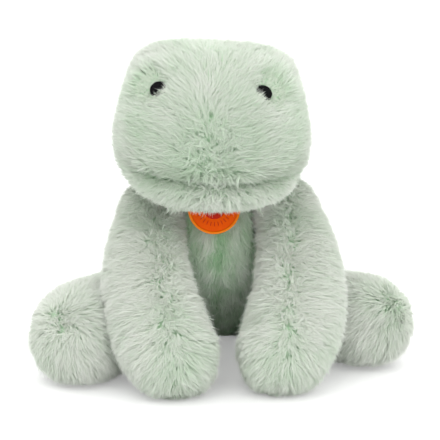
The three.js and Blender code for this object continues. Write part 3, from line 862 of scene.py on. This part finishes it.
def locks_of(part, surface):
    """Where a form's locks of pile stand, which way they are combed, and how high and pale they are."""
    points, normals = scatter(surface, lock_spacing)
    others = tree_of([f"{other}_skin" for other in forms if other != part])
    room = room_before(points, normals, others, fold_reach)
    open_places = room > least_room
    points, normals, room = points[open_places], normals[open_places], room[open_places]
    comb, lay, tousle = combs[part](points, normals)
    comb = ruffled(part, points, normals, comb, tousle)
    swell = waves(points, swell_size, 9.0)[:, 0] + fine_swell * waves(points, fine_swell_size, 4.0)[:, 1]
    height = np.clip(room / (full_room * pile_rise), 0.25, 1) * (1 + lock_swell * swell)
    tone = pile_tone + lock_swell * swell + cloud_tone * waves(points, cloud_size, 2.0)[:, 2]
    # Painted shade: deeper tone near another form, where the pile lies in the fold's shade
    tone -= limb_fold_shades.get(part, fold_shade) * (1 - room / fold_reach) ** 1.2
    locks = {"points": points, "normals": normals, "comb": comb, "height": height, "tone": tone, "lay": lay}
    locks["reach"] = 1 - (head_tousle_loss if part == "head" else tousle_loss) * tousle**2
    if part == "head":
        return face_locks(locks)
    if part == "body":
        return belly_locks(locks)
    return limb_locks(part, locks, tousle)


def limb_locks(part, locks, tousle):
    """A limb's locks, which are paler than the body's; the parting is deeper, and the low end of an arm is
    painted deeper as painted shade.
    """
    locks["tone"] += limb_tone
    if part in legs:
        locks["tone"] += sole_tone * tousle**2
    if part in arms:
        locks["tone"] -= parting_tone * tousle**2
        # Painted shade: an arm's pile is deeper in tone low down, towards the paw
        locks["tone"] -= low_arm_shade * (1 - smoothstep(locks["points"][:, 2], *low_arm_shade_edge))
    return locks


def belly_locks(locks):
    """The body's locks, painted deeper in tone down its front as painted shade between the arms, and in
    longer tufts there, with a seam in the middle.
    """
    points = locks["points"]
    belly = smoothstep(-locks["normals"][:, 1], *belly_edge)
    tuft = waves(points * belly_stretch, belly_tuft_size, 7.0)[:, 0]
    low, high = boxes["body"]
    seam = bell(points[:, 0] - (low[0] + high[0]) / 2, belly_seam_width)
    # Painted shade: the belly's front is deeper in tone, deeper still in the seam; the tufts vary it
    locks["tone"] -= belly * (0.42 - 0.5 * tuft + 0.4 * seam)
    locks["height"] *= 1 + belly * (0.4 * tuft - 0.45 * seam)
    return locks


def face_locks(locks):
    """The head's locks, cleared round the eyes and shorter in the mouth; painted deeper in tone in the
    mouth's crease, on the snout's front and in a ring round each eye, as painted shade.
    """
    height, share = above_mouth(locks["points"])
    tuck = share * bell(height, tuck_width)
    under = smoothstep(-height, *under_chin_edge) * smoothstep(-locks["normals"][:, 2], *facing_down_edge)
    locks["height"] *= 1 - tuck_loss * tuck
    # Painted shade: deeper tone in the mouth's crease
    locks["tone"] -= tuck_shade * tuck
    locks["reach"] *= 1 - lower_lip_loss * share * rise_at(height, *lower_lip_band)
    locks["reach"] *= 1 - under_chin_reach_loss * under
    locks["height"] *= 1 - under_chin_loss * under
    # Painted shade: the snout's front above the mouth is deeper in tone
    locks["tone"] -= snout_shade * share * rise_at(height, *snout_shade_band)
    clear = (share < seam_share) | (np.abs(height - seam_height) > seam_width * share)
    for side in eyes:
        out, rise, away, near = beside_eye(locks["points"], side)
        beyond = over_pupil(locks["points"], side)
        snout = beyond > pupil_showing[side]
        lying_over = rise_at(beyond, pupil_showing[side], over_pupil_width) * snout
        over = near * bell(away, over_eye_width) * lying_over
        locks["reach"] *= 1 - over_pupil_reach_loss * over
        locks["height"] *= 1 - over_pupil_loss * over
        clear &= ~((near > 0) & (away < eye_clearing) & ~snout)
        upper = smoothstep(rim_side[0] * out + rim_side[1] * rise, *rim_edge)
        rim = near * bell(away - eye_clearing, rim_spread)
        # Painted shade: a deeper ring in the crease round each eye's clearing, deeper on its upper side
        locks["tone"] -= rim * (eye_rim_shade + upper_eye_rim_shade * upper)
        locks["height"] *= 1 - rim_loss * rim
        locks["height"] *= 1 + brow_gain * near * bell(away - eye_clearing - brow_away, brow_away) * upper
    return chosen_locks(locks, clear)


def dress(part):
    """Cloth and pile of one stuffed form."""
    skin = f"{part}_skin"
    backing = stuffed_cloth(f"{part}_cloth", part)
    surface = surface_of(backing)
    locks = locks_of(part, surface)
    apply(backing, "SOLIDIFY", thickness=cloth_thickness, offset=-1)
    finish_piece(backing, cloth, part, [skin])
    low, high = boxes[part]
    middle = (low + high) / 2
    front = locks["points"][:, 1] < middle[1]
    left = locks["points"][:, 0] > middle[0]
    for panel, chosen in (
        ("front_left", front & left),
        ("front_right", front & ~left),
        ("back_left", ~front & left),
        ("back_right", ~front & ~left),
    ):
        pile = combed_pile(f"{part}_pile_{panel}", chosen_locks(locks, chosen))
        finish_piece(pile, long_pile, part, [skin], smooth=False)


def stuff(part):
    """The fibre inside a form: its CAD filling, lumpy and a little slack."""
    name = f"{part}_filling"
    piece = joined_copy(f"{part}_fibre", [name])
    apply(piece, "REMESH", mode="VOXEL", voxel_size=cloth_voxel)
    apply(piece, "SMOOTH", factor=smoothing, iterations=4)

    def lumps(points, normals):
        return -filling_slack + filling_lump * waves(points, filling_lump_size, 1.0)[:, 0]

    push(piece, lumps)
    finish_piece(piece, fibre, part, [name])


# Eyes


def turned_to(middle, normal):
    """A matrix that sets a piece modelled flat at the origin, +Z out, onto the frog's front, upright."""
    out = Vector(normal)
    across = Vector(up).cross(out).normalized()
    turned = Matrix((across, out.cross(across), out)).transposed().to_4x4()
    return Matrix.Translation(Vector(middle)) @ turned


def set_on(piece, middle, normal):
    """Moves a piece modelled at the origin onto the frog, in its mesh."""
    piece.data.transform(turned_to(middle, normal))
    piece.data.update()
    return piece


def patch_locks(side, surface):
    """An eye patch's locks of short pile: away from the pupil, and over it from the snout's side."""
    points, normals = scatter(surface, patch_spacing)
    away = points - pupils[side][0]
    distance = np.linalg.norm(away, axis=1)
    lid = over_pupil(points, side) > lid_place[side]
    shown = lid | (distance > pupil_clearing)
    over = (lid & (distance < lid_reach))[shown]
    points, normals, away = points[shown], normals[shown], away[shown]
    outwards, upwards = eye_axes(side)
    along_lid = lid_side[0] * outwards + lid_side[1] * upwards
    from_pupil = unit(away) + patch_ruffle * waves(points, patch_ruffle_size)
    comb = np.where(over[:, None], along_lid, from_pupil)
    swell = patch_swell * waves(points, patch_swell_size, 2.0)[:, 1]
    mottle = patch_mottle * waves(points, patch_mottle_size)[:, 0]
    even = np.ones(len(points))
    return {
        "points": points,
        "normals": normals,
        "comb": tangent(comb, normals),
        "height": patch_height + swell + lid_height * over,
        "tone": patch_tone + mottle + lid_tone * over,
        "lay": even,
        "reach": even,
    }


def eye_patch(side):
    """A disc of short-pile cloth let into the long pile."""
    name = f"eye_patch_{side}"
    middle, normal = eyes[side]
    deselect()
    bpy.ops.mesh.primitive_circle_add(vertices=48, radius=patch_radius, fill_type="TRIFAN")
    disc = bpy.context.object
    disc.name = f"{name}_cloth"
    apply(disc, "SUBSURF", subdivision_type="SIMPLE", levels=3, render_levels=3)

    def crown(points, normals):
        return patch_crown * (1 - (np.linalg.norm(points, axis=1) / patch_radius) ** 2)

    push(disc, crown)
    set_on(disc, middle - (patch_drop + patch_crown) * normal, normal)
    locks = patch_locks(side, surface_of(disc))
    pile = combed_pile(f"{name}_pile", locks, **patch_pile)
    apply(disc, "SOLIDIFY", thickness=patch_thickness, offset=-1)
    finish_piece(disc, cloth, "head", [name])
    finish_piece(pile, short_pile, "head", [name], smooth=False)


def satin_threads(name):
    """Threads side by side over a low dome, as one mesh."""
    curve = bpy.data.curves.new(name, "CURVE")
    curve.dimensions = "3D"
    curve.bevel_depth = thread_width / 2
    curve.bevel_resolution = 1
    count = int(2 * pupil_radius / (0.8 * thread_width))
    for k in range(count):
        across = pupil_radius * (2 * (k + 0.5) / count - 1)
        reach = math.sqrt(pupil_radius**2 - across**2)
        spline = curve.splines.new("POLY")
        spline.points.add(thread_steps - 1)
        for i in range(thread_steps):
            along = reach * (2 * i / (thread_steps - 1) - 1)
            share = min(1, (across**2 + along**2) / pupil_radius**2)
            lift = pupil_depth * 0.75 * math.sqrt(1 - share) - thread_sink
            spline.points[i].co = (along, across + thread_sway * math.sin(7 * k + i), lift, 1)
    threads = bpy.data.objects.new(name, curve)
    add_to_scene(threads)
    select(threads)
    bpy.ops.object.convert(target="MESH")
    return threads


def eye_pupil(side):
    """A pupil of satin stitches over a low pad."""
    name = f"eye_pupil_{side}"
    middle, normal = pupils[side]
    deselect()
    bpy.ops.mesh.primitive_uv_sphere_add(segments=32, ring_count=12, radius=pupil_radius)
    pad = bpy.context.object
    pad.data.transform(Matrix.Diagonal((0.97, 0.97, 0.75 * pupil_depth / pupil_radius, 1)))
    threads = satin_threads(name)
    select(pad, threads)
    bpy.ops.object.join()
    pad.name = f"{name}_stitches"
    pad.data.transform(Matrix.Rotation(stitch_turn[side], 4, "Z"))
    set_on(pad, middle - pupil_drop * normal, normal)
    finish_piece(pad, thread, "head", [name])


# Medallion


def add_ring(radius, thickness, segments, rounds=12):
    deselect()
    bpy.ops.mesh.primitive_torus_add(
        major_radius=radius, minor_radius=thickness, major_segments=segments, minor_segments=rounds
    )
    return bpy.context.object


def add_disc(radius, low, high):
    """A round plate between two heights."""
    deselect()
    bpy.ops.mesh.primitive_cylinder_add(vertices=round_segments, radius=radius, depth=high - low)
    disc = bpy.context.object
    disc.data.transform(Matrix.Translation((0, 0, (low + high) / 2)))
    return disc


def add_ribs(low, high):
    """Plain radial ribs, evenly spaced round a plate: one is made, and the others are its copies."""
    inner, outer = rib_ends
    deselect()
    bpy.ops.mesh.primitive_cube_add(size=1)
    first = bpy.context.object
    first.data.transform(Matrix.Diagonal((outer - inner, rib_width, high - low, 1)))
    first.data.transform(Matrix.Translation(((inner + outer) / 2, 0, (low + high) / 2)))
    apply(first, "BEVEL", width=rib_bevel, segments=2)
    ribs = [first]
    for k in range(1, rib_count):
        rib = bpy.data.objects.new(first.name, first.data.copy())
        rib.data.transform(Matrix.Rotation(2 * math.pi * k / rib_count, 4, "Z"))
        add_to_scene(rib)
        ribs.append(rib)
    select(*ribs)
    bpy.ops.object.join()
    return first


def sink_field(plate):
    """Sinks a round plate's front inside its rim, by inset faces."""
    select(plate)
    bpy.ops.object.mode_set(mode="EDIT")
    bpy.ops.mesh.select_mode(type="FACE")
    bpy.ops.mesh.select_all(action="DESELECT")
    bpy.ops.object.mode_set(mode="OBJECT")
    for face in plate.data.polygons:
        face.select = face.normal.z > 0.9
    bpy.ops.object.mode_set(mode="EDIT")
    bpy.ops.mesh.inset(thickness=rim_width)
    bpy.ops.mesh.inset(thickness=rim_wall, depth=-rim_height)
    bpy.ops.object.mode_set(mode="OBJECT")


def paint_rim_highlight(plate, beyond):
    """Paints what lies beyond that radius in a paler orange, a painted highlight on the rim."""
    plate.data.materials.append(rim_highlight_orange)
    for face in plate.data.polygons:
        if math.hypot(face.center.x, face.center.y) > beyond and face.center.z > 0:
            face.material_index = 1


def make_medallion():
    middle, normal = disc_frame("medallion_centre")
    low, high = box_of("medallion_disc")
    radius = (high[0] - low[0]) / 2
    centre_front = plate_face + centre_height
    origin = np.array(middle) - (centre_front - centre_height) * np.array(normal)
    plate = add_disc(radius, -plate_face, plate_face + rim_height)
    sink_field(plate)
    apply(plate, "BEVEL", width=rim_bevel, segments=3, limit_method="ANGLE", angle_limit=math.radians(35))
    lug = add_ring(lug_radius, lug_thickness, 40)
    lug.data.transform(Matrix.Diagonal((1, 1, 1.5, 1)))
    lug.data.transform(Matrix.Translation((0, radius + lug_gap, 0)))
    select(plate, lug)
    bpy.ops.object.join()
    plate.name = "medallion_plate"
    ribs = add_ribs(plate_face - rib_root, plate_face + rib_height)
    ribs.name = "medallion_ribs"
    boss = add_disc(centre_radius, plate_face - centre_root, centre_front)
    apply(boss, "BEVEL", width=centre_bevel, segments=4, limit_method="ANGLE")
    boss.name = "medallion_boss"
    for piece, material, slot, replaced in (
        (plate, orange, "medallion_orange", ["medallion_disc"]),
        (ribs, red, "medallion_red", ["medallion_disc"]),
        (boss, red, "medallion_red", ["medallion_centre"]),
    ):
        finish_piece(piece, material, "medallion", replaced, smooth=False)
        if piece == plate:
            paint_rim_highlight(plate, radius - rim_width - rim_highlight_inset)
        set_on(piece, origin, normal)
        bpy.ops.object.shade_smooth_by_angle(angle=math.radians(40))


def make_loop():
    """The cord loop in the neck seam: a ring, drawn in between its two laid strands."""
    low, high = box_of("medallion_loop")
    thickness = (high[0] - low[0]) / 2
    middle_line = (high[2] - low[2]) / 2 - thickness
    ring = add_ring(middle_line, thickness, 180, 16)

    def groove(points, normals):
        round_ring = np.arctan2(points[:, 1], points[:, 0])
        round_cord = np.arctan2(points[:, 2], np.hypot(points[:, 0], points[:, 1]) - middle_line)
        return -groove_share * thickness * (1 - np.abs(np.cos(round_cord + loop_twists * round_ring)))

    push(ring, groove)
    ring.data.transform(Matrix.Rotation(math.radians(90), 4, "Y"))
    ring.data.transform(Matrix.Translation(Vector((low + high) / 2)))
    ring.name = "medallion_cord"
    finish_piece(ring, cord, "body", ["medallion_loop"])


def make_pouch():
    """The weighted pouch: a cloth bag with a seam round it, bulging over its pellets."""
    low, high = box_of("seat_pouch")
    half = (high - low) / 2
    deselect()
    bpy.ops.mesh.primitive_uv_sphere_add(segments=64, ring_count=32, radius=1)
    bag = bpy.context.object
    bag.data.transform(Matrix.Diagonal((*(half * bag_share), 1)))

    def pellets_and_seam(points, normals):
        bulge = pellet_bulge * waves(points, pellet_size)[:, 0]
        return bulge + bag_seam_rise * bell(points[:, 2], bag_seam_width)

    push(bag, pellets_and_seam)
    bag.data.transform(Matrix.Translation(Vector((low + high) / 2)))
    bag.name = "seat_pouch_bag"
    finish_piece(bag, pouch_cloth, "body", ["seat_pouch"])


# Setting up the stage, the light and the camera


def area_light(name, place, power):
    data = bpy.data.lights.new(name, "AREA")
    data.shape = "DISK"
    data.size = light_size
    data.energy = power
    light = bpy.data.objects.new(name, data)
    light.location = place
    light.rotation_euler = (Vector(light_target) - Vector(place)).to_track_quat("-Z", "Y").to_euler()
    add_to_scene(light)


def seen_as_white(tree, shader, target):
    """Puts plain white in front of the camera and in reflections, and the shader everywhere else."""
    path = tree.nodes.new("ShaderNodeLightPath")
    seen = tree.nodes.new("ShaderNodeMath")
    seen.operation = "MAXIMUM"
    tree.links.new(path.outputs["Is Camera Ray"], seen.inputs[0])
    tree.links.new(path.outputs["Is Glossy Ray"], seen.inputs[1])
    white = tree.nodes.new("ShaderNodeBackground")
    white.inputs["Color"].default_value = (1, 1, 1, 1)
    white.inputs["Strength"].default_value = 1
    mix = tree.nodes.new("ShaderNodeMixShader")
    tree.links.new(seen.outputs[0], mix.inputs[0])
    tree.links.new(shader, mix.inputs[1])
    tree.links.new(white.outputs[0], mix.inputs[2])
    tree.links.new(mix.outputs[0], target)


def pale_floor():
    """A floor that keeps the frog's shadow, and that a camera sees a little paler, up to white."""
    material = new_material("pale floor", (0.85, 0.85, 0.85), 0.95, Emission_Color=(1, 1, 1, 1))
    path = node(material, "ShaderNodeLightPath")
    lift = node(material, "ShaderNodeMath", [(0, path.outputs["Is Camera Ray"])], operation="MULTIPLY")
    lift.inputs[1].default_value = floor_lift
    link_shader(material, "Emission Strength", lift.outputs[0])
    return material


def make_stage():
    deselect()
    bpy.ops.mesh.primitive_plane_add(size=floor_size, location=(0, 0, 0))
    floor = bpy.context.object
    floor.name = "floor"
    floor.data.materials.append(pale_floor())
    world = bpy.context.scene.world or bpy.data.worlds.new("studio")
    bpy.context.scene.world = world
    world.use_nodes = True
    tree = world.node_tree
    background = tree.nodes["Background"]
    background.inputs["Color"].default_value = (1, 1, 1, 1)
    background.inputs["Strength"].default_value = world_strength
    seen_as_white(tree, background.outputs[0], tree.nodes["World Output"].inputs["Surface"])
    for name, (place, power) in lights.items():
        area_light(name, place, power)


def make_camera():
    data = bpy.data.cameras.new("camera")
    data.lens = camera_lens
    data.sensor_width = camera_sensor
    camera = bpy.data.objects.new("camera", data)
    flat = math.cos(camera_elevation)
    ahead = -math.cos(camera_azimuth) * flat
    offset = Vector((math.sin(camera_azimuth) * flat, ahead, math.sin(camera_elevation)))
    camera.location = camera_target + camera_distance * offset
    camera.rotation_euler = (-offset).to_track_quat("-Z", "Y").to_euler()
    add_to_scene(camera)
    bpy.context.scene.camera = camera


make_camera()
for form in forms:
    dress(form)
    stuff(form)
for eye_side in eyes:
    eye_patch(eye_side)
    eye_pupil(eye_side)
make_medallion()
make_loop()
make_pouch()
make_stage()
bpy.context.scene.view_settings.view_transform = "Standard"
